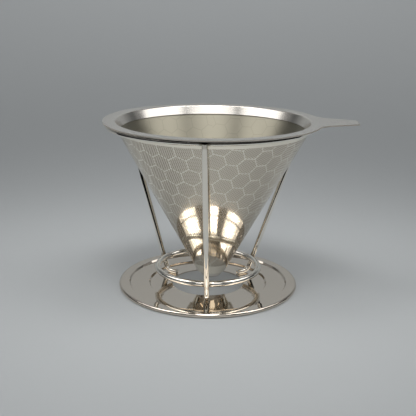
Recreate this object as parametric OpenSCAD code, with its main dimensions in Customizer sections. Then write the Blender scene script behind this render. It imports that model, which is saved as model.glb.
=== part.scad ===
// Pour over coffee dripper: a lift-out double-wall cone filter on a welded wire stand.
// Origin: centre of the drain hole, on the surface that the stand rests on. +Z is up,
// and the handle tab points along +X.

/* [Rim and handle tab] */
// Outer diameter of the flat rim
rim_d = 125; // [120:0.5:150]
// Height of the rim's top face above the table
rim_h = 99.3; // [80:0.1:125]
// Sheet thickness of the rim, its neck and the handle tab
rim_t = 0.7; // [0.5:0.1:1.2]
// Radius of the rounded turn from the flat rim into the neck
crest_r = 1.3; // [1.3:0.1:3]
// Depth of the neck below the rim's top face
neck_drop = 5.1; // [4:0.1:10]
// Reach of the handle tab beyond the rim's edge
tab_reach = 20; // [12:0.5:40]
// Width of the handle tab at its tip
tab_tip_w = 12.4; // [8:0.1:18]
// Width of the handle tab where its sides would meet the rim's edge
tab_root_w = 28; // [20:0.5:36]
// Radius of the hollow corner between tab and rim
tab_fillet_r = 14; // [6:0.5:20]
// Radius of the tab's two tip corners
tab_corner_r = 1.6; // [0.5:0.1:4]
// Turn of the tab away from the X axis
tab_turn = -2.3; // [-10:0.1:10]

/* [Filter cone] */
// Outer diameter of the cone at its top edge
cone_top_d = 111; // [100:0.5:112]
// Distance from the rim's top face down to the cone's top edge
cone_drop = 3.7; // [3:0.1:5]
// Outer diameter of the cone at its lower edge
cone_low_d = 16.7; // [14:0.1:24]
// Thickness of the perforated outer sheet
sheet_t = 0.5; // [0.3:0.05:0.8]
// Thickness of the woven inner layer
mesh_t = 0.3; // [0.2:0.05:0.5]
// Gap between one layer of the filter and the next
layer_gap = 0.05; // [0.03:0.01:0.1]

/* [Tip cup] */
// Height of the cup's bottom above the table
tip_h = 5.3; // [4:0.1:9]
// How far the cup stands out below the cone's lower edge
tip_drop = 3.6; // [2.5:0.1:5]
// How far the cup reaches up inside the cone
tip_rise = 4.5; // [3:0.1:8]
// Sheet thickness of the cup
tip_t = 0.5; // [0.3:0.05:0.8]
// Radius of the cup's rounded lower edge
tip_round_r = 2.6; // [1.2:0.1:3]

/* [Wire stand] */
// Wire diameter of the top ring
top_wire_d = 2.5; // [2:0.1:4]
// Gap between the rim's underside and the top ring
seat_gap = 0.3; // [0.2:0.05:0.5]
// Side play of the filter's neck in the top ring, all round
seat_play = 2.1; // [1:0.1:4]
// Share of that play by which the filter hangs towards its handle
seat_shift = 0.9; // [0:0.05:0.9]
// Wire diameter of the legs
leg_wire_d = 3; // [2.4:0.1:4]
// Gap between the rim's underside and the legs' top ends
leg_gap = 1; // [0.5:0.1:3]
// Directions in which the legs leave the top ring: front, left and right
leg_top_angles = [-92.3, 147.2, 20.8]; // [-180:0.1:180]
// Directions in which the legs pass the lower ring: front, left and right
leg_low_angles = [-91.2, 146.2, 33.4]; // [-180:0.1:180]
// Radius of the legs' lower bend, along the wire's middle
leg_bend_r = 4; // [3:0.1:6]
// Distance of the feet's inner ends from the stand's axis
foot_tip_r = 23; // [22:0.1:24]
// Wire diameter of the lower ring
low_wire_d = 3.5; // [2.5:0.1:4.5]
// Diameter of the lower ring, along the wire's middle
low_ring_d = 60; // [54:0.5:64]
// Height of the lower ring's middle above the table
low_ring_h = 11; // [9:0.1:16]
// How far crossing wires are sunk into each other where they are welded
weld_bite = 0.3; // [0.2:0.05:0.4]

/* [Base plate] */
// Outer diameter of the base plate
base_d = 106.2; // [98:0.1:125]
// Sheet thickness of the base plate
base_t = 0.6; // [0.5:0.05:0.8]
// Diameter of the drain hole
drain_d = 42.8; // [38:0.1:43]
// Diameters of the two pressed steps
step_d = [69.6, 93.2]; // [60:0.1:94]
// Rise of each pressed step
step_h = 0.95; // [0.75:0.05:1.3]
// Width over which a step rises
step_run = 0.8; // [0.5:0.1:1.5]

/* [Hidden] */
$fn = 144;
EPS = 0.01;

STEEL_FLANGE = [0.60, 0.60, 0.59];
STEEL_SHEET = [0.64, 0.62, 0.58];
STEEL_MESH = [0.56, 0.54, 0.46];
STEEL_WIRE = [0.80, 0.79, 0.75];
STEEL_PLATE = [0.56, 0.54, 0.51];

rim_r = rim_d / 2;
rim_under = rim_h - rim_t;
neck_low = rim_h - neck_drop;
cone_high = rim_h - cone_drop;
cone_low = tip_h + tip_drop;

// The cones' walls lean, so a wall of thickness t is t * wall_run wide in a level cut.
cone_slope = (cone_top_d - cone_low_d) / 2 / (cone_high - cone_low);
cone_half_angle = atan(cone_slope);
wall_run = 1 / cos(cone_half_angle);

// Depth of each layer's outer face under the outer sheet's outer face, square to the wall
mesh_in = sheet_t + layer_gap;
neck_in = mesh_in + mesh_t + layer_gap;
crest_in = neck_in + rim_t;

// Level radius of the face that lies a given depth inside the outer sheet's outer face
function wall_r(z, depth) = cone_top_d / 2 + (z - cone_high) * cone_slope - depth * wall_run;

// Points along an arc, as [r, z] pairs or [x, y] pairs
function arc(centre, r, from, to, steps = 8) =
    [for (i = [0:steps]) centre + r * [cos(from + (to - from) * i / steps), sin(from + (to - from) * i / steps)]];

// The stand's rings and the legs' line
top_ring_z = rim_under - seat_gap - top_wire_d / 2;
top_ring_r = wall_r(top_ring_z, neck_in) + seat_play + top_wire_d / 2;
low_ring_r = low_ring_d / 2;
leg_lean = atan((top_ring_r - low_ring_r) / (top_ring_z - low_ring_h));
leg_top_r = top_ring_r + ((top_wire_d + leg_wire_d) / 2 - weld_bite) / cos(leg_lean);
leg_low_r = low_ring_r + ((low_wire_d + leg_wire_d) / 2 - weld_bite) / cos(leg_lean);
leg_top_z = rim_under - leg_gap;
foot_z = base_t + leg_wire_d / 2 - weld_bite / 2;
filter_x = seat_play * seat_shift;

// The outer land runs level into the top of the rolled edge, which reaches down to the table
roll_d = 2 * step_h + base_t;

// A point at radius r, direction a and height z
function polar(r, a, z) = [r * cos(a), r * sin(a), z];
function unit(v) = v / norm(v);

// Places a rod's children so that Z runs from p towards q
module along(p, q) {
    d = q - p;
    translate(p)
        rotate([0, acos(d.z / norm(d)), atan2(d.y, d.x)])
            children();
}

// A round wire from p to q
module rod(p, q, d) {
    along(p, q)
        cylinder(h = norm(q - p), d = d);
}

// A closed ring of round wire
module wire_ring(r, z, d) {
    translate([0, 0, z])
        rotate_extrude()
            translate([r, 0])
                circle(d = d, $fn = 48);
}

// The profile that the rim and its neck are spun from
module rim_profile() {
    turn = 90 - cone_half_angle;
    // Middle of the crest's curve, which meets the flat rim and the neck's inner face
    crest_x = wall_r(rim_h, crest_in) + crest_r * tan(turn / 2);
    crest = [crest_x, rim_h - crest_r];
    polygon(concat(
        [[rim_r, rim_under], [rim_r, rim_h]],
        arc(crest, crest_r, 90, 90 + turn),
        [[wall_r(neck_low, crest_in), neck_low], [wall_r(neck_low, neck_in), neck_low]],
        arc(crest, crest_r - rim_t, 90 + turn, 90)
    ));
}

// Outline of the handle tab, with the hollow corners that lead into the rim
module tab_outline() {
    tip = [rim_r + tab_reach, tab_tip_w / 2];
    side = atan((tab_root_w - tab_tip_w) / 2 / tab_reach);
    // The tab's side is the line whose distance from the axis is offset, along its normal
    normal = [sin(side), cos(side)];
    offset = tip * normal;
    // The hollow corner touches that line and runs a little way into the rim's edge
    reach = rim_r + tab_fillet_r - 0.3;
    hollow_dir = 90 - side - acos((offset + tab_fillet_r) / reach);
    hollow = reach * [cos(hollow_dir), sin(hollow_dir)];
    corner_x = tip.x - tab_corner_r;
    corner = [corner_x, (offset - tab_corner_r - normal.x * corner_x) / normal.y];
    half = concat(
        [[0, 0]],
        arc(hollow, tab_fillet_r, hollow_dir - 180, -90 - side, 12),
        arc(corner, tab_corner_r, 90 - side, 0, 6)
    );
    polygon(concat(half, [for (i = [len(half) - 1:-1:1]) [half[i].x, -half[i].y]]));
}

module rim() {
    color(STEEL_FLANGE)
        translate([filter_x, 0, 0]) {
            rotate_extrude()
                rim_profile();
            rotate([0, 0, tab_turn])
                translate([0, 0, rim_under])
                    difference() {
                        linear_extrude(rim_t)
                            tab_outline();
                        translate([0, 0, -1])
                            cylinder(h = rim_t + 2, r = rim_r - 2);
                    }
        }
}

// One leaning wall of the filter, from the cone's top edge down to its lower edge
module cone_wall(depth, t) {
    translate([filter_x, 0, 0])
        rotate_extrude()
            polygon([
                [wall_r(cone_high, depth), cone_high],
                [wall_r(cone_high, depth + t), cone_high],
                [wall_r(cone_low, depth + t), cone_low],
                [wall_r(cone_low, depth), cone_low]
            ]);
}

module outer_cone() {
    color(STEEL_SHEET)
        cone_wall(0, sheet_t);
}

module inner_cone() {
    color(STEEL_MESH)
        cone_wall(mesh_in, mesh_t);
}

// The cup that closes the cone's lower end and holds both layers' edges
module tip_cup() {
    top = cone_low + tip_rise;
    round_z = tip_h + tip_round_r;
    middle = [wall_r(round_z, neck_in) - tip_round_r * wall_run, round_z];
    color(STEEL_SHEET)
        translate([filter_x, 0, 0])
            rotate_extrude()
                polygon(concat(
                    [[0, tip_h]],
                    arc(middle, tip_round_r, -90, -cone_half_angle),
                    [[wall_r(top, neck_in), top], [wall_r(top, neck_in + tip_t), top]],
                    arc(middle, tip_round_r - tip_t, -cone_half_angle, -90),
                    [[0, tip_h + tip_t]]
                ));
}

module top_ring() {
    color(STEEL_WIRE)
        wire_ring(top_ring_r, top_ring_z, top_wire_d);
}

module lower_ring() {
    color(STEEL_WIRE)
        wire_ring(low_ring_r, low_ring_h, low_wire_d);
}

// A leg: a straight wire outside both rings, bent inwards at its lower end to a short foot
module leg(i) {
    upper = polar(leg_top_r, leg_top_angles[i], top_ring_z);
    lower = polar(leg_low_r, leg_low_angles[i], low_ring_h);
    down = unit(lower - upper);
    inward = polar(-1, leg_low_angles[i], 0);
    head = upper + down * (leg_top_z - top_ring_z) / down.z;
    corner = lower + down * (foot_z - low_ring_h) / down.z;
    turn = acos(down * inward);
    bend_start = corner - down * leg_bend_r * tan(turn / 2);
    bend_end = corner + inward * leg_bend_r * tan(turn / 2);
    foot_tip = corner + inward * (norm([corner.x, corner.y]) - foot_tip_r);
    // Axes of the bend: out from its middle, along the wire, and square to both
    out = -unit(inward - down * (inward * down));
    side = cross(out, down);
    middle = bend_start - out * leg_bend_r;
    // The bend runs a little way into both straight stretches, and is a hair thinner than they are
    lap = 0.1 / leg_bend_r * 180 / PI;
    bend_d = leg_wire_d - 2 * EPS;
    color(STEEL_WIRE)
        difference() {
            union() {
                rod(bend_start, head, leg_wire_d);
                multmatrix([
                    [out.x, down.x, side.x, middle.x],
                    [out.y, down.y, side.y, middle.y],
                    [out.z, down.z, side.z, middle.z],
                    [0, 0, 0, 1]
                ])
                    rotate([0, 0, -lap])
                        rotate_extrude(angle = turn + 2 * lap)
                            translate([leg_bend_r, 0])
                                circle(d = bend_d, $fn = 48);
                rod(bend_end, foot_tip, leg_wire_d);
            }
            wire_ring(top_ring_r, top_ring_z, top_wire_d);
            wire_ring(low_ring_r, low_ring_h, low_wire_d);
            translate([0, 0, base_t - 1])
                cylinder(h = 1, r = base_d / 2);
        }
}

module leg_front() {
    leg(0);
}

module leg_left() {
    leg(1);
}

module leg_right() {
    leg(2);
}

// Profile of the dished plate: three lands, each a step higher than the one inside it, and an
// outer edge that is curled over and back under itself
module plate_profile() {
    half_run = step_run / 2;
    middle = [(base_d - roll_d) / 2, roll_d / 2];
    // The curl stops short of the plate's underside
    finish = -115;
    inner_r = roll_d / 2 - base_t;
    lands = concat(
        [[drain_d / 2, 0]],
        [for (i = [0:1]) each [
            [step_d[i] / 2 - half_run, step_h * i],
            [step_d[i] / 2 + half_run, step_h * (i + 1)]
        ]]
    );
    polygon(concat(
        [for (p = lands) p + [0, base_t]],
        arc(middle, roll_d / 2, 90, finish, 24),
        arc(middle, inner_r, finish, 90, 20),
        [for (i = [len(lands) - 1:-1:0]) lands[i]]
    ));
}

module base_plate() {
    color(STEEL_PLATE)
        rotate_extrude()
            plate_profile();
}

rim();
outer_cone();
inner_cone();
tip_cup();
top_ring();
leg_front();
leg_left();
leg_right();
lower_ring();
base_plate();
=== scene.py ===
import math

import bmesh
import bpy
from bpy.props import FloatProperty, FloatVectorProperty, PointerProperty
from mathutils import Matrix, Vector


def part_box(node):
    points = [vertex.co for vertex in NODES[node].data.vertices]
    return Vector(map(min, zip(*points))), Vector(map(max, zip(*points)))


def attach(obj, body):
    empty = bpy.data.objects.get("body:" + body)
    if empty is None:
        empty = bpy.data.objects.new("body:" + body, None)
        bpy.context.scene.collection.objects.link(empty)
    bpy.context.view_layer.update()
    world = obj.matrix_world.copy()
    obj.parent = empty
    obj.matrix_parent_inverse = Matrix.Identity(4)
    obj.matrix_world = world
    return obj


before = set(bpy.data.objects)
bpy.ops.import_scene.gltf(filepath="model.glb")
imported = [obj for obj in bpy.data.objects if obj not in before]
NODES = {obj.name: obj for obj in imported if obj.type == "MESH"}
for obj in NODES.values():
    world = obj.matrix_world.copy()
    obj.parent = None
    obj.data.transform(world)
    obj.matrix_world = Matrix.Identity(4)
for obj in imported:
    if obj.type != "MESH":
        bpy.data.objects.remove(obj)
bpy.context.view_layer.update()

bl_info = {
    "name": "Pour over dripper",
    "version": (1, 0, 0),
    "blender": (4, 5, 0),
    "location": "3D View > Sidebar > Dripper",
    "description": "Finishes, welds and studio for a steel cone dripper on a wire stand",
    "category": "Object",
}

MM = 0.001
LEGS = ("leg_front", "leg_left", "leg_right")
RINGS = ("top_ring", "lower_ring")

# Middle of one honeycomb cell on the unrolled sheet, which places the whole pattern
CELL_START = (8.713 * MM, 7.480 * MM, 0)
# A weld bead's width along the ring, depth and height, as shares of its radius
BEAD_SHAPE = (2.1, 0.75, 1.0)

# The sweep, in metres: half its width, where it starts and bends, the bend and its top
SWEEP_HALF = 1.8
SWEEP_START = -1.6
SWEEP_BEND_AT = 0.17
SWEEP_BEND_R = 0.75
SWEEP_TOP = 0.85
# The dark surround's radius and height, in metres, from its inner edge to its top
SURROUND_PROFILE = ((0.19, 0.001), (0.46, 0.001), (0.46, 0.13))
SURROUND_TURN = (-200, 20)
# What the soft boxes are turned to
LIT_POINT = Vector((0, 0, 0.06))
# Each soft box: name, degrees round from the front, degrees up, distance, width and depth
# in metres, and its share of the group's power
FRONT_BOXES = (
    ("box_left", -80, 42, 0.9, 0.75, 0.5, 1.0),
    ("box_front", 2, 42, 0.9, 0.8, 0.5, 1.0),
    ("box_right", 82, 42, 0.9, 0.75, 0.5, 1.0),
)
TOP_BOXES = (
    ("top_left", -84, 66, 0.6, 0.26, 0.44, 0.3),
    ("top_front", 0, 72, 0.58, 0.2, 0.44, 0.4),
    ("top_right", 84, 66, 0.6, 0.26, 0.44, 0.3),
)
OPEN_SPREAD = 180
GRID_SPREAD = 40


def srgb(code):
    """Turns an sRGB hex colour into the linear values that the shaders and lights use."""
    parts = [int(code[i:i + 2], 16) / 255 for i in (1, 3, 5)]
    return tuple(c / 12.92 if c <= 0.04045 else ((c + 0.055) / 1.055) ** 2.4 for c in parts)


def cone_shape(node):
    """Apex height, slope and middle of a cone's outer face, read from its own corners."""
    low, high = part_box(node)
    middle = (low + high) / 2
    top_r = (high.y - low.y) / 2
    rims = [v.co for v in NODES[node].data.vertices if v.co.z < low.z + 0.01 * MM]
    low_r = max(math.hypot(p.x - middle.x, p.y - middle.y) for p in rims)
    slope = (top_r - low_r) / (high.z - low.z)
    return high.z - top_r / slope, slope, middle


def wire_ring_shape(node):
    """Radius and height of a wire ring's middle line, and the wire's own radius."""
    low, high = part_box(node)
    wire_r = (high.z - low.z) / 2
    return (high.y - low.y) / 2 - wire_r, (high.z + low.z) / 2, wire_r


CONE_APEX_Z, CONE_SLOPE, FILTER_MIDDLE = cone_shape("outer_cone")


class RimSettings(bpy.types.PropertyGroup):
    steel: FloatVectorProperty(
        name="Satin steel", description="Colour of the rim's satin sheet",
        subtype="COLOR", size=3, min=0, max=1, default=srgb("#ECE6DD"))
    # Painted shadow: the dark colour given to the rim's underside stands for the shadow under the
    # flange
    under: FloatVectorProperty(
        name="Underside", description="Colour of the rim's unbrushed underside",
        subtype="COLOR", size=3, min=0, max=1, default=srgb("#3A3835"))
    edge_round: FloatProperty(
        name="Edge round", description="Radius that the sheet's cut edges are eased to",
        unit="LENGTH", min=0, default=0.12 * MM)
    brush_spacing: FloatProperty(
        name="Brush spacing", description="Distance between the fine lines left by the satin brush",
        unit="LENGTH", min=0.1 * MM, default=0.8 * MM)


class FilterSettings(bpy.types.PropertyGroup):
    sheet: FloatVectorProperty(
        name="Sheet steel", description="Colour of the polished outer sheet",
        subtype="COLOR", size=3, min=0, max=1, default=srgb("#FFF8E9"))
    hole: FloatVectorProperty(
        name="Hole", description="Colour of what shows in the etched holes",
        subtype="COLOR", size=3, min=0, max=1, default=srgb("#8C8274"))
    mesh: FloatVectorProperty(
        name="Woven mesh", description="Colour of the fine inner mesh",
        subtype="COLOR", size=3, min=0, max=1, default=srgb("#A09B8B"))
    cell_side: FloatProperty(
        name="Honeycomb side", description="Length of one side of a honeycomb cell",
        unit="LENGTH", min=2 * MM, default=5.834 * MM)
    cell_turn: FloatProperty(
        name="Honeycomb turn", description="Turn of the honeycomb on the unrolled sheet",
        subtype="ANGLE", default=math.radians(13.27))
    web: FloatProperty(
        name="Web width", description="Width of the unpierced webs between the cells",
        unit="LENGTH", min=0.2 * MM, default=0.5 * MM)
    holes_across: FloatProperty(
        name="Holes across a cell", description="Number of hole rows from one web to the next",
        min=4, max=16, default=9)
    hole_d: FloatProperty(
        name="Hole width", description="Diameter of an etched hole as drawn",
        unit="LENGTH", min=0.1 * MM, default=0.66 * MM)
    plain_top: FloatProperty(
        name="Plain top margin",
        description="Height of the unpierced band under the cone's top edge",
        unit="LENGTH", min=0, default=2.3 * MM)
    plain_foot: FloatProperty(
        name="Plain foot margin",
        description="Height of the unpierced band over the cone's lower edge",
        unit="LENGTH", min=0, default=5.6 * MM)


class StandSettings(bpy.types.PropertyGroup):
    wire: FloatVectorProperty(
        name="Wire steel", description="Colour of the electropolished wire",
        subtype="COLOR", size=3, min=0, max=1, default=srgb("#F6F1E7"))
    tint: FloatVectorProperty(
        name="Weld tint", description="Colour of the steel where welding has heated it",
        subtype="COLOR", size=3, min=0, max=1, default=srgb("#8C7F68"))
    plate: FloatVectorProperty(
        name="Plate steel", description="Colour of the polished base plate",
        subtype="COLOR", size=3, min=0, max=1, default=srgb("#DDD3C6"))
    weld_r: FloatProperty(
        name="Weld bead", description="Radius of the bead where two wires are welded",
        unit="LENGTH", min=0.2 * MM, default=1.15 * MM)


class StageSettings(bpy.types.PropertyGroup):
    floor: FloatVectorProperty(
        name="Floor", description="Colour of the pale sweep under and behind the dripper",
        subtype="COLOR", size=3, min=0, max=1, default=srgb("#B5B8B9"))
    camera_side: FloatProperty(
        name="Camera side", description="Distance of the camera to the right of the middle",
        unit="LENGTH", default=-0.38 * MM)
    camera_back: FloatProperty(
        name="Camera distance", description="Distance of the camera in front of the stand",
        unit="LENGTH", default=440.65 * MM)
    camera_up: FloatProperty(
        name="Camera height", description="Height of the camera above the table",
        unit="LENGTH", default=173.46 * MM)
    camera_dip: FloatProperty(
        name="Camera dip", description="Angle by which the camera looks down",
        subtype="ANGLE", default=math.radians(16.02))
    camera_roll: FloatProperty(
        name="Camera roll", description="Angle by which the camera is turned about its own line",
        subtype="ANGLE", default=math.radians(0.704))
    lens: FloatProperty(
        name="Lens", description="Focal length in millimetres for a 36 mm wide sensor",
        unit="CAMERA", min=20, default=67.51)
    room: FloatProperty(
        name="Room light", description="Strength of the even light from all round",
        min=0, default=0.26)
    panel: FloatProperty(
        name="Panel light", description="Power of each of the three front soft boxes",
        unit="POWER", min=0, default=1.5)
    top: FloatProperty(
        name="Top light", description="Power of the three gridded soft boxes overhead together",
        unit="POWER", min=0, default=0.24)
    wall: FloatProperty(
        name="Wall light", description="Power of the strip that lights the sweep behind",
        unit="POWER", min=0, default=1.6)


def add_node(tree, kind, settings=None, **links):
    """Adds a shader node, sets its properties, and sets or links its sockets by name.

    i3 is the socket at place 3, for nodes whose sockets share a name."""
    made = tree.nodes.new(kind)
    for key, value in (settings or {}).items():
        setattr(made, key, value)
    for key, value in links.items():
        place = int(key[1:]) if key[0] == "i" and key[1:].isdigit() else key.replace("_", " ")
        socket = made.inputs[place]
        if isinstance(value, bpy.types.NodeSocket):
            tree.links.new(value, socket)
        else:
            socket.default_value = value
    return made


def start_finish(name, **sockets):
    """A material whose Principled shader has the given sockets set, with its tree and shader."""
    made = bpy.data.materials.new(name)
    made.use_nodes = True
    tree = made.node_tree
    tree.nodes.clear()
    shader = add_node(tree, "ShaderNodeBsdfPrincipled", **sockets)
    add_node(tree, "ShaderNodeOutputMaterial", Surface=shader.outputs[0])
    return made, tree, shader


def combine(tree, operation, a, b=0.0, c=0.0):
    """One step of arithmetic between sockets or numbers."""
    return add_node(tree, "ShaderNodeMath", {"operation": operation}, i0=a, i1=b, i2=c).outputs[0]


def combine_vectors(tree, operation, a, b=(0, 0, 0), result=0):
    """One step of arithmetic between vectors. result 1 gives a length or a dot product."""
    made = add_node(tree, "ShaderNodeVectorMath", {"operation": operation}, i0=a, i1=b)
    return made.outputs[result]


def round_the_filter(tree):
    """Place on the filter: x, y and z from the cone's point, distance from it, and turn."""
    place = add_node(tree, "ShaderNodeTexCoord").outputs["Object"]
    apex = (FILTER_MIDDLE.x, FILTER_MIDDLE.y, CONE_APEX_Z)
    point = combine_vectors(tree, "SUBTRACT", place, apex)
    parts = add_node(tree, "ShaderNodeSeparateXYZ", Vector=point).outputs
    reach = combine_vectors(tree, "LENGTH", point, result=1)
    # The turn is counted from the front, so that the sheet's seam lies at the back
    turn = combine(tree, "ARCTAN2", parts[0], combine(tree, "MULTIPLY", parts[1], -1.0))
    return parts, reach, turn


def unrolled(tree, reach, turn):
    """The cone's sheet laid out flat: every length on the steel keeps its real size."""
    fan = combine(tree, "MULTIPLY", turn, math.sin(math.atan(CONE_SLOPE)))
    across = combine(tree, "MULTIPLY", reach, combine(tree, "SINE", fan))
    along = combine(tree, "MULTIPLY", reach, combine(tree, "COSINE", fan))
    return add_node(tree, "ShaderNodeCombineXYZ", X=across, Y=along).outputs[0]


def cell_offset(tree, place, width):
    """Vector from the middle of the nearest cell of a honeycomb with cells this width."""
    step = (width, width * math.sqrt(3), 1.0)
    half = tuple(s / 2 for s in step)
    near = []
    for start in ((0.0, 0.0, 0.0), half):
        moved = combine_vectors(tree, "SUBTRACT", place, start)
        # WRAP keeps the remainder within half a step either side of a cell's middle
        wrapped = add_node(tree, "ShaderNodeVectorMath", {"operation": "WRAP"}, i0=moved,
                           i1=half, i2=tuple(-h for h in half)).outputs[0]
        near.append(combine_vectors(tree, "MULTIPLY", wrapped, (1, 1, 0)))
    lengths = [combine_vectors(tree, "LENGTH", v, result=1) for v in near]
    second = combine(tree, "LESS_THAN", lengths[1], lengths[0])
    return add_node(tree, "ShaderNodeMix", {"data_type": "VECTOR"}, i0=second, i4=near[0],
                    i5=near[1]).outputs[1]


def web_distance(tree, offset, width):
    """Distance from a honeycomb's nearest web, given the vector from its cell's middle."""
    size = combine_vectors(tree, "ABSOLUTE", offset)
    flat = add_node(tree, "ShaderNodeSeparateXYZ", Vector=size).outputs[0]
    slant = combine_vectors(tree, "DOT_PRODUCT", size, (0.5, math.sqrt(3) / 2, 0), result=1)
    return combine(tree, "SUBTRACT", width / 2, combine(tree, "MAXIMUM", flat, slant))


def ramp_between(tree, value, low, high, to_low=0.0, to_high=1.0):
    """value rising smoothly from low to high, as to_low to to_high."""
    return add_node(tree, "ShaderNodeMapRange", {"interpolation_type": "SMOOTHSTEP"}, i0=value,
                    i1=low, i2=high, i3=to_low, i4=to_high).outputs[0]


def mix_colours(tree, share, a, b):
    """Colour a where share is 0, b where it is 1."""
    return add_node(tree, "ShaderNodeMix", {"data_type": "RGBA"}, i0=share, i6=a, i7=b).outputs[2]


def honeycomb(tree, parts, reach, turn, sizes):
    """Shares of the sheet that are web, hole and open cell, each from 0 to 1."""
    width = sizes.cell_side * math.sqrt(3)
    flat = unrolled(tree, reach, turn)
    shifted = combine_vectors(tree, "SUBTRACT", flat, CELL_START)
    turned = add_node(tree, "ShaderNodeVectorRotate", {"rotation_type": "Z_AXIS"},
                      Vector=shifted, Angle=-sizes.cell_turn).outputs[0]
    to_web = web_distance(tree, cell_offset(tree, turned, width), width)
    # The holes are in rows that run with the cells' sides, a whole number of rows to a cell
    pitch = width / sizes.holes_across
    to_hole = combine_vectors(tree, "LENGTH", cell_offset(tree, turned, pitch), result=1)
    edge = 0.08 * MM
    web = ramp_between(tree, to_web, sizes.web / 2 - edge, sizes.web / 2 + edge, 1, 0)
    hole_r = sizes.hole_d / 2
    hole = ramp_between(tree, to_hole, hole_r - edge, hole_r + edge, 1, 0)
    low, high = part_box("outer_cone")
    upper = combine(tree, "LESS_THAN", parts[2], high.z - sizes.plain_top - CONE_APEX_Z)
    lower = combine(tree, "GREATER_THAN", parts[2], low.z + sizes.plain_foot - CONE_APEX_Z)
    field = combine(tree, "MULTIPLY", upper, lower)
    open_cell = combine(tree, "MULTIPLY", field, combine(tree, "SUBTRACT", 1.0, web))
    return web, combine(tree, "MULTIPLY", hole, open_cell), open_cell


def satin_rolled_steel(settings):
    """Stainless steel, 304, cold rolled and satin brushed: a soft sheen with fine rings round
    the rim, so highlights spread along them but keep clear ends."""
    made, tree, shader = start_finish("satin_rolled_steel", Metallic=1.0)
    parts, _, turn = round_the_filter(tree)
    squares = [combine(tree, "MULTIPLY", part, part) for part in (parts[0], parts[1])]
    out = combine(tree, "SQRT", combine(tree, "ADD", *squares))
    # Real brush lines are some 0.05 mm apart, too fine to show: drawn at brush_spacing
    lines = add_node(tree, "ShaderNodeCombineXYZ",
                     X=combine(tree, "DIVIDE", out, settings.brush_spacing),
                     Y=combine(tree, "MULTIPLY", turn, 3.0),
                     Z=combine(tree, "DIVIDE", parts[2], settings.brush_spacing)).outputs[0]
    grain = add_node(tree, "ShaderNodeTexNoise", Vector=lines, Scale=1.0, Detail=3.0).outputs[0]
    place = add_node(tree, "ShaderNodeTexCoord").outputs["Object"]
    # Handling dulls the satin in patches some 17 mm wide
    cloud = add_node(tree, "ShaderNodeTexNoise", Vector=place, Scale=1 / (16.7 * MM),
                     Detail=2.0).outputs[0]
    # The underside is painted dark, a painted shadow for the gap under the flange. The painted
    # shadow is heaviest toward the front leg and thins to the sides, and that heavier front is a
    # painted reflection
    facing = add_node(tree, "ShaderNodeSeparateXYZ",
                      Vector=add_node(tree, "ShaderNodeNewGeometry").outputs["Normal"]).outputs[2]
    front_heavy_share = ramp_between(tree, combine(tree, "COSINE", turn), 0.5, 0.97, 0.25, 1.0)
    painted_underside_shadow = combine(tree, "MULTIPLY", front_heavy_share, ramp_between(tree, facing, -0.8, -0.6, 1, 0))
    colour = mix_colours(tree, painted_underside_shadow, (*settings.steel, 1), (*settings.under, 1))
    tree.links.new(colour, shader.inputs["Base Color"])
    rough = combine(tree, "ADD", ramp_between(tree, grain, 0.3, 0.7, 0.16, 0.21),
                    ramp_between(tree, cloud, 0.35, 0.7, 0.0, 0.04))
    # The sheared edge is deburred but not brushed, so it stays matt
    low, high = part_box("rim")
    upright = ramp_between(tree, combine(tree, "ABSOLUTE", facing), 0.4, 0.8, 1, 0)
    at_edge = combine(tree, "GREATER_THAN", out, (high.y - low.y) / 2 - 0.4 * MM)
    matt = combine(tree, "MULTIPLY", upright, at_edge)
    rough = combine(tree, "ADD", rough, combine(tree, "MULTIPLY", matt, 0.45))
    tree.links.new(rough, shader.inputs["Roughness"])
    bump = add_node(tree, "ShaderNodeBump", Strength=0.04, Distance=0.01 * MM, Height=grain)
    tree.links.new(bump.outputs[0], shader.inputs["Normal"])
    return made


def etched_polished_sheet(settings):
    """Stainless steel sheet, photo-etched and electropolished: bright webs in a honeycomb, and
    cells full of fine holes that grey it. It still mirrors the base plate under it."""
    made, tree, shader = start_finish("etched_polished_sheet", Metallic=1.0)
    _, hole, open_cell = honeycomb(tree, *round_the_filter(tree), settings)
    # Real holes are 0.4 mm wide and 0.65 mm apart, too fine to show: drawn at hole_d, with
    # holes_across rows to a cell
    # The etch also greys the steel between the holes a little
    etched = 0.24
    cell = mix_colours(tree, etched, (*settings.sheet, 1), (*settings.hole, 1))
    plain = mix_colours(tree, open_cell, (*settings.sheet, 1), cell)
    colour = mix_colours(tree, hole, plain, (*settings.hole, 1))
    tree.links.new(colour, shader.inputs["Base Color"])
    rough = combine(tree, "ADD", combine(tree, "MULTIPLY", hole, 0.3),
                    ramp_between(tree, open_cell, 0.0, 1.0, 0.05, 0.07))
    tree.links.new(rough, shader.inputs["Roughness"])
    height = combine(tree, "SUBTRACT", 1.0, hole)
    bump = add_node(tree, "ShaderNodeBump", Strength=0.1, Distance=0.05 * MM, Height=height)
    tree.links.new(bump.outputs[0], shader.inputs["Normal"])
    return made


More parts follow.
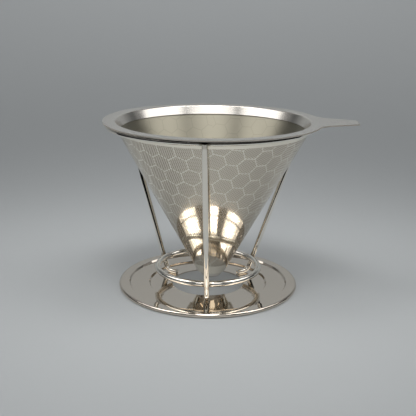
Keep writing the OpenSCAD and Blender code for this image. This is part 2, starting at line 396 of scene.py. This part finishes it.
def woven_steel_mesh(settings):
    """Stainless steel wire cloth, plain woven and rolled flat: a dull, slightly olive sheen that
    smears highlights into soft upright bands, with the outer sheet's webs as a painted shadow on
    it."""
    made, tree, shader = start_finish("woven_steel_mesh", Metallic=1.0)
    parts, reach, turn = round_the_filter(tree)
    web, _, _ = honeycomb(tree, parts, reach, turn, settings)
    place = add_node(tree, "ShaderNodeTexCoord").outputs["Object"]
    # Real threads are 0.08 mm apart, too fine to show: drawn 0.7 mm apart
    spacing = 0.7 * MM
    # The threads are this far apart where the cone has this radius
    middle_r = 36 * MM
    fan = combine(tree, "MULTIPLY", turn, middle_r / spacing * 2 * math.pi)
    warp = combine(tree, "SINE", fan)
    weft = combine(tree, "SINE", combine(tree, "MULTIPLY", parts[2], 2 * math.pi / spacing))
    weave = combine(tree, "MULTIPLY", warp, weft)
    # Rolling presses the cloth unevenly, in patches some 29 mm wide
    cloud = add_node(tree, "ShaderNodeTexNoise", Vector=place, Scale=1 / (28.6 * MM),
                     Detail=3.0).outputs[0]
    tone_and_web_shadow = combine(tree, "ADD", combine(tree, "MULTIPLY", weave, 0.10),
                    ramp_between(tree, cloud, 0.3, 0.7, 0.12, 0.2))
    # Painted shadow: the outer sheet's webs darken the mesh in a honeycomb, as their shadow on it
    tone_and_web_shadow = combine(tree, "ADD", tone_and_web_shadow, combine(tree, "MULTIPLY", web, 0.2))
    dark = tuple(c * 0.5 for c in settings.mesh)
    colour = mix_colours(tree, tone_and_web_shadow, (*settings.mesh, 1), (*dark, 1))
    tree.links.new(colour, shader.inputs["Base Color"])
    rough = ramp_between(tree, cloud, 0.3, 0.7, 0.3, 0.34)
    tree.links.new(rough, shader.inputs["Roughness"])
    bump = add_node(tree, "ShaderNodeBump", Strength=0.08, Distance=0.04 * MM, Height=weave)
    tree.links.new(bump.outputs[0], shader.inputs["Normal"])
    return made


def electropolished_wire(settings, welds):
    """Drawn stainless wire, electropolished after welding: a bright mirror, dulled and straw
    brown for a few millimetres round each weld."""
    made, tree, shader = start_finish("electropolished_wire", Metallic=1.0)
    place = add_node(tree, "ShaderNodeTexCoord").outputs["Object"]
    near = 1.0
    for weld in welds:
        gap = combine_vectors(tree, "DISTANCE", place, tuple(weld), result=1)
        near = combine(tree, "MINIMUM", gap, near)
    # The polish is uneven and the weld tint ragged over about a millimetre
    cloud = add_node(tree, "ShaderNodeTexNoise", Vector=place, Scale=1 / (1.1 * MM),
                     Detail=3.0).outputs[0]
    ragged = combine(tree, "ADD", near, combine(tree, "MULTIPLY", cloud, 1.6 * MM))
    heated = ramp_between(tree, ragged, 2.6 * MM, 4.6 * MM, 1, 0)
    colour = mix_colours(tree, combine(tree, "MULTIPLY", heated, 0.7), (*settings.wire, 1),
                         (*settings.tint, 1))
    tree.links.new(colour, shader.inputs["Base Color"])
    rough = combine(tree, "ADD", ramp_between(tree, cloud, 0.35, 0.7, 0.05, 0.09),
                    combine(tree, "MULTIPLY", heated, 0.16))
    tree.links.new(rough, shader.inputs["Roughness"])
    # Straightening leaves waves some 17 mm long that make the reflections wander
    wave = add_node(tree, "ShaderNodeTexNoise", Vector=place, Scale=1 / (16.7 * MM),
                    Detail=1.0).outputs[0]
    bump = add_node(tree, "ShaderNodeBump", Strength=0.15, Distance=0.06 * MM, Height=wave)
    tree.links.new(bump.outputs[0], shader.inputs["Normal"])
    return made


def pressed_polished_plate(settings):
    """Stainless steel sheet, 430, mirror polished and deep drawn: clear reflections that waver
    with the press's flow, and hair-fine wiping scratches that veil them."""
    made, tree, shader = start_finish(
        "pressed_polished_plate", Base_Color=(*settings.plate, 1), Metallic=1.0)
    place = add_node(tree, "ShaderNodeTexCoord").outputs["Object"]
    # Wiping scratches are some 4 mm long and a fourteenth as wide, all one way
    stretched = add_node(tree, "ShaderNodeMapping", Vector=place, Rotation=(0, 0, 0.5),
                         Scale=(1, 14, 1)).outputs[0]
    scratch = add_node(tree, "ShaderNodeTexNoise", Vector=stretched, Scale=1 / (3.85 * MM),
                       Detail=4.0).outputs[0]
    # The press's flow lifts and sinks the sheet over some 22 mm
    cloud = add_node(tree, "ShaderNodeTexNoise", Vector=place, Scale=1 / (22.2 * MM),
                     Detail=2.0).outputs[0]
    rough = combine(tree, "ADD", ramp_between(tree, scratch, 0.4, 0.75, 0.03, 0.06),
                    ramp_between(tree, cloud, 0.35, 0.75, 0.0, 0.03))
    tree.links.new(rough, shader.inputs["Roughness"])
    bump = add_node(tree, "ShaderNodeBump", Strength=0.15, Distance=0.1 * MM, Height=cloud)
    tree.links.new(bump.outputs[0], shader.inputs["Normal"])
    return made


def paper_sweep(settings):
    """Matt paper on a curved board: one pale tone with no gloss."""
    made, tree, shader = start_finish(
        "matt_paper_sweep", Base_Color=(*settings.floor, 1), Roughness=0.9)
    shader.inputs["Specular IOR Level"].default_value = 0.1
    place = add_node(tree, "ShaderNodeTexCoord").outputs["Object"]
    # Paper fibres clump over about 1.4 mm
    fibre = add_node(tree, "ShaderNodeTexNoise", Vector=place, Scale=1 / (1.43 * MM),
                     Detail=2.0).outputs[0]
    bump = add_node(tree, "ShaderNodeBump", Strength=0.05, Distance=0.05 * MM, Height=fibre)
    tree.links.new(bump.outputs[0], shader.inputs["Normal"])
    return made


def black_card():
    """Matt black card: no gloss and almost no light of its own."""
    made, _, shader = start_finish(
        "black_card", Base_Color=(*srgb("#0B0B0C"), 1), Roughness=1.0)
    shader.inputs["Specular IOR Level"].default_value = 0.0
    return made


def give_finish(node, finish):
    """Puts one finish on a CAD node in place of its own."""
    obj = NODES[node]
    obj.data.materials.clear()
    obj.data.materials.append(finish)


def ease_edges(node, radius, angle=40):
    """Rounds a CAD node's sharp edges a little with a modifier, as tumbling does."""
    bevel = NODES[node].modifiers.new("eased_edges", "BEVEL")
    bevel.width = radius
    bevel.segments = 2
    bevel.limit_method = "ANGLE"
    bevel.angle_limit = math.radians(angle)


def skin_between(bm, rows):
    """Faces from each row of corners to the next."""
    for a, b in zip(rows, rows[1:]):
        for i in range(len(a) - 1):
            bm.faces.new((a[i], a[i + 1], b[i + 1], b[i]))


def piece_from(name, bm, finish):
    """A smooth-shaded object with this mesh and finish."""
    mesh = bpy.data.meshes.new(name)
    bm.to_mesh(mesh)
    bm.free()
    for face in mesh.polygons:
        face.use_smooth = True
    made = bpy.data.objects.new(name, mesh)
    bpy.context.scene.collection.objects.link(made)
    mesh.materials.append(finish)
    return made


def leg_line(node):
    """Two points on a leg's straight middle line, near its top and near its lower end."""
    points = [v.co for v in NODES[node].data.vertices]
    low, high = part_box(node)
    # Corners lie where the straight part ends: at the top, and over the bend to the foot
    top_end = (high.z - 6 * MM, high.z)
    foot_end = (low.z + 5 * MM, low.z + 14 * MM)
    ends = []
    for from_z, to_z in (top_end, foot_end):
        band = [p for p in points if from_z <= p.z <= to_z]
        if band:
            ends.append(sum(band, Vector()) / len(band))
    if len(ends) < 2:
        raise RuntimeError(f"{node} has no corners where its ends should be")
    return ends


def weld_places():
    """Where each leg touches each ring, on the ring's outer side."""
    places = []
    for ring in RINGS:
        radius, height, wire_r = wire_ring_shape(ring)
        for leg in LEGS:
            upper, lower = leg_line(leg)
            at = lower.lerp(upper, (height - lower.z) / (upper.z - lower.z))
            out = Vector((at.x, at.y, 0)).normalized()
            # Sunk a little in the ring, so that the bead joins it
            places.append(out * (radius + wire_r * 0.95) + Vector((0, 0, height)))
    return places


def weld_beads(places, radius, finish):
    """One piece with a bead at each place, wider along the ring than it is deep."""
    bm = bmesh.new()
    for place in places:
        out = Vector((place.x, place.y, 0)).normalized()
        side = Vector((-out.y, out.x, 0))
        turn = Matrix((side, out, Vector((0, 0, 1)))).transposed().to_4x4()
        made = bmesh.ops.create_icosphere(
            bm, subdivisions=3, radius=radius,
            matrix=Matrix.Translation(place) @ turn @ Matrix.Diagonal((*BEAD_SHAPE, 1)))
        # A hand weld freezes in fine ripples, here 0.05 mm high
        for v in made["verts"]:
            v.co += out * 0.05 * MM * math.sin(v.co.x * 9000 + v.co.z * 7000)
    return piece_from("weld_beads", bm, finish)


def make_sweep(settings):
    """The floor and wall in one curved board of pale paper."""
    profile = [(SWEEP_START, 0.0), (-0.6, 0.0), (SWEEP_BEND_AT, 0.0)]
    steps = 24
    for i in range(1, steps + 1):
        a = math.radians(90 * i / steps)
        profile.append((SWEEP_BEND_AT + SWEEP_BEND_R * math.sin(a),
                        SWEEP_BEND_R * (1 - math.cos(a))))
    profile.append((SWEEP_BEND_AT + SWEEP_BEND_R, SWEEP_TOP))
    bm = bmesh.new()
    across = (-SWEEP_HALF, -SWEEP_HALF / 3, SWEEP_HALF / 3, SWEEP_HALF)
    skin_between(bm, [[bm.verts.new((x, y, z)) for x in across] for y, z in profile])
    sweep = piece_from("sweep", bm, paper_sweep(settings))


def make_room(scene, settings):
    """Even light from all round: dim at the height of the table and pale overhead."""
    world = bpy.data.worlds.new("room")
    world.use_nodes = True
    tree = world.node_tree
    tree.nodes.clear()
    place = add_node(tree, "ShaderNodeTexCoord").outputs["Generated"]
    up = add_node(tree, "ShaderNodeSeparateXYZ", Vector=place).outputs[2]
    colour = mix_colours(tree, ramp_between(tree, up, 0.1, 0.6), (*srgb("#919395"), 1),
                         (*srgb("#F1F3F5"), 1))
    back = add_node(tree, "ShaderNodeBackground", Color=colour, Strength=settings.room)
    add_node(tree, "ShaderNodeOutputWorld", Surface=back.outputs[0])
    scene.world = world


def make_dark_surround():
    """Past a pale table the room is dark: this draws the black lines in the polished wire.
    Only reflections see it, so that the floor stays plain."""
    steps = 48
    start, end = SURROUND_TURN
    turns = [math.radians(start + (end - start) * i / steps) for i in range(steps + 1)]
    bm = bmesh.new()
    skin_between(bm, [[bm.verts.new((radius * math.cos(a), radius * math.sin(a), height))
                       for a in turns] for radius, height in SURROUND_PROFILE])
    dark = piece_from("dark_surround", bm, black_card())
    dark.visible_camera = False
    dark.visible_diffuse = False
    dark.visible_shadow = False


def soft_box(scene, name, place, toward, size, power, spread):
    """A rectangular soft box at place, turned to a point."""
    lamp = bpy.data.lights.new(name, "AREA")
    lamp.shape = "RECTANGLE"
    lamp.size, lamp.size_y = size
    lamp.energy = power
    lamp.spread = math.radians(spread)
    obj = bpy.data.objects.new(name, lamp)
    scene.collection.objects.link(obj)
    obj.location = place
    obj.rotation_euler = (place - toward).to_track_quat("Z", "Y").to_euler()


def make_lights(scene, settings):
    """Three soft boxes high in front and three overhead, and a strip for the wall.

    Those overhead have grids that keep their light round the dripper. The gaps between the
    boxes draw the grey gaps in the rim's neck."""
    for boxes, power, spread in ((FRONT_BOXES, settings.panel, OPEN_SPREAD),
                                 (TOP_BOXES, settings.top, GRID_SPREAD)):
        for name, side, up, far, wide, deep, share in boxes:
            a, e = math.radians(side), math.radians(up)
            place = LIT_POINT + far * Vector(
                (math.sin(a) * math.cos(e), -math.cos(a) * math.cos(e), math.sin(e)))
            soft_box(scene, name, place, LIT_POINT, (wide, deep), power * share, spread)
    # Turned away from the dripper, it brightens the sweep that the level faces mirror
    soft_box(scene, "strip_wall", Vector((0, 0.25, 0.95)), Vector((0, 0.9, 0.5)), (1.0, 0.2),
             settings.wall, 100)


def make_camera(scene, settings):
    """The camera in front of the stand, looking down at it."""
    lens = bpy.data.cameras.new("camera")
    lens.lens = settings.lens
    lens.sensor_width = 36
    camera = bpy.data.objects.new("camera", lens)
    scene.collection.objects.link(camera)
    place = Vector((settings.camera_side, -settings.camera_back, settings.camera_up))
    camera.matrix_world = (
        Matrix.Translation(place)
        @ Matrix.Rotation(math.pi / 2 - settings.camera_dip, 4, "X")
        @ Matrix.Rotation(settings.camera_roll, 4, "Z"))
    scene.camera = camera


class DRIPPER_OT_rim(bpy.types.Operator):
    """Finish the rim, its handle tab and the tip cup in satin steel"""
    bl_idname = "dripper.rim"
    bl_label = "Rim and tip cup"

    def execute(self, context):
        settings = context.scene.dripper_rim
        finish = satin_rolled_steel(settings)
        for node in ("rim", "tip_cup"):
            give_finish(node, finish)
        ease_edges("rim", settings.edge_round)
        return {"FINISHED"}


class DRIPPER_OT_filter(bpy.types.Operator):
    """Finish the filter's etched outer sheet and its woven inner layer"""
    bl_idname = "dripper.filter"
    bl_label = "Filter cone"

    def execute(self, context):
        settings = context.scene.dripper_filter
        give_finish("outer_cone", etched_polished_sheet(settings))
        give_finish("inner_cone", woven_steel_mesh(settings))
        return {"FINISHED"}


class DRIPPER_OT_stand(bpy.types.Operator):
    """Finish the wire stand and its base plate, and add the weld beads"""
    bl_idname = "dripper.stand"
    bl_label = "Wire stand and plate"

    def execute(self, context):
        settings = context.scene.dripper_stand
        welds = weld_places()
        wire = electropolished_wire(settings, welds)
        for node in (*RINGS, *LEGS):
            give_finish(node, wire)
        give_finish("base_plate", pressed_polished_plate(settings))
        beads = weld_beads(welds, settings.weld_r, wire)
        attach(beads, "stand")
        return {"FINISHED"}


class DRIPPER_OT_stage(bpy.types.Operator):
    """Make the pale sweep, the soft lights and the camera"""
    bl_idname = "dripper.stage"
    bl_label = "Studio"

    def execute(self, context):
        settings = context.scene.dripper_stage
        scene = context.scene
        scene.view_settings.view_transform = "Standard"
        scene.view_settings.look = "None"
        make_sweep(settings)
        make_room(scene, settings)
        make_dark_surround()
        make_lights(scene, settings)
        make_camera(scene, settings)
        return {"FINISHED"}


class DRIPPER_PT_panel(bpy.types.Panel):
    """Lists the dripper's steps and their sizes and colours"""
    bl_label = "Pour over dripper"
    bl_idname = "DRIPPER_PT_panel"
    bl_space_type = "VIEW_3D"
    bl_region_type = "UI"
    bl_category = "Dripper"

    def draw(self, context):
        for step, group in STEPS:
            box = self.layout.box()
            box.operator(step.bl_idname)
            settings = getattr(context.scene, group)
            for prop in settings.bl_rna.properties:
                if prop.identifier not in ("rna_type", "name"):
                    box.prop(settings, prop.identifier)


GROUPS = (
    ("dripper_rim", RimSettings),
    ("dripper_filter", FilterSettings),
    ("dripper_stand", StandSettings),
    ("dripper_stage", StageSettings),
)
STEPS = (
    (DRIPPER_OT_rim, "dripper_rim"),
    (DRIPPER_OT_filter, "dripper_filter"),
    (DRIPPER_OT_stand, "dripper_stand"),
    (DRIPPER_OT_stage, "dripper_stage"),
)
CLASSES = [group for _, group in GROUPS] + [step for step, _ in STEPS] + [DRIPPER_PT_panel]


def register():
    for made in CLASSES:
        bpy.utils.register_class(made)
    for name, group in GROUPS:
        setattr(bpy.types.Scene, name, PointerProperty(type=group))


def unregister():
    for name, _ in GROUPS:
        delattr(bpy.types.Scene, name)
    for made in reversed(CLASSES):
        bpy.utils.unregister_class(made)


def main():
    register()
    bpy.ops.dripper.rim()
    bpy.ops.dripper.filter()
    bpy.ops.dripper.stand()
    bpy.ops.dripper.stage()
    bpy.context.view_layer.update()


if __name__ == "__main__":
    main()
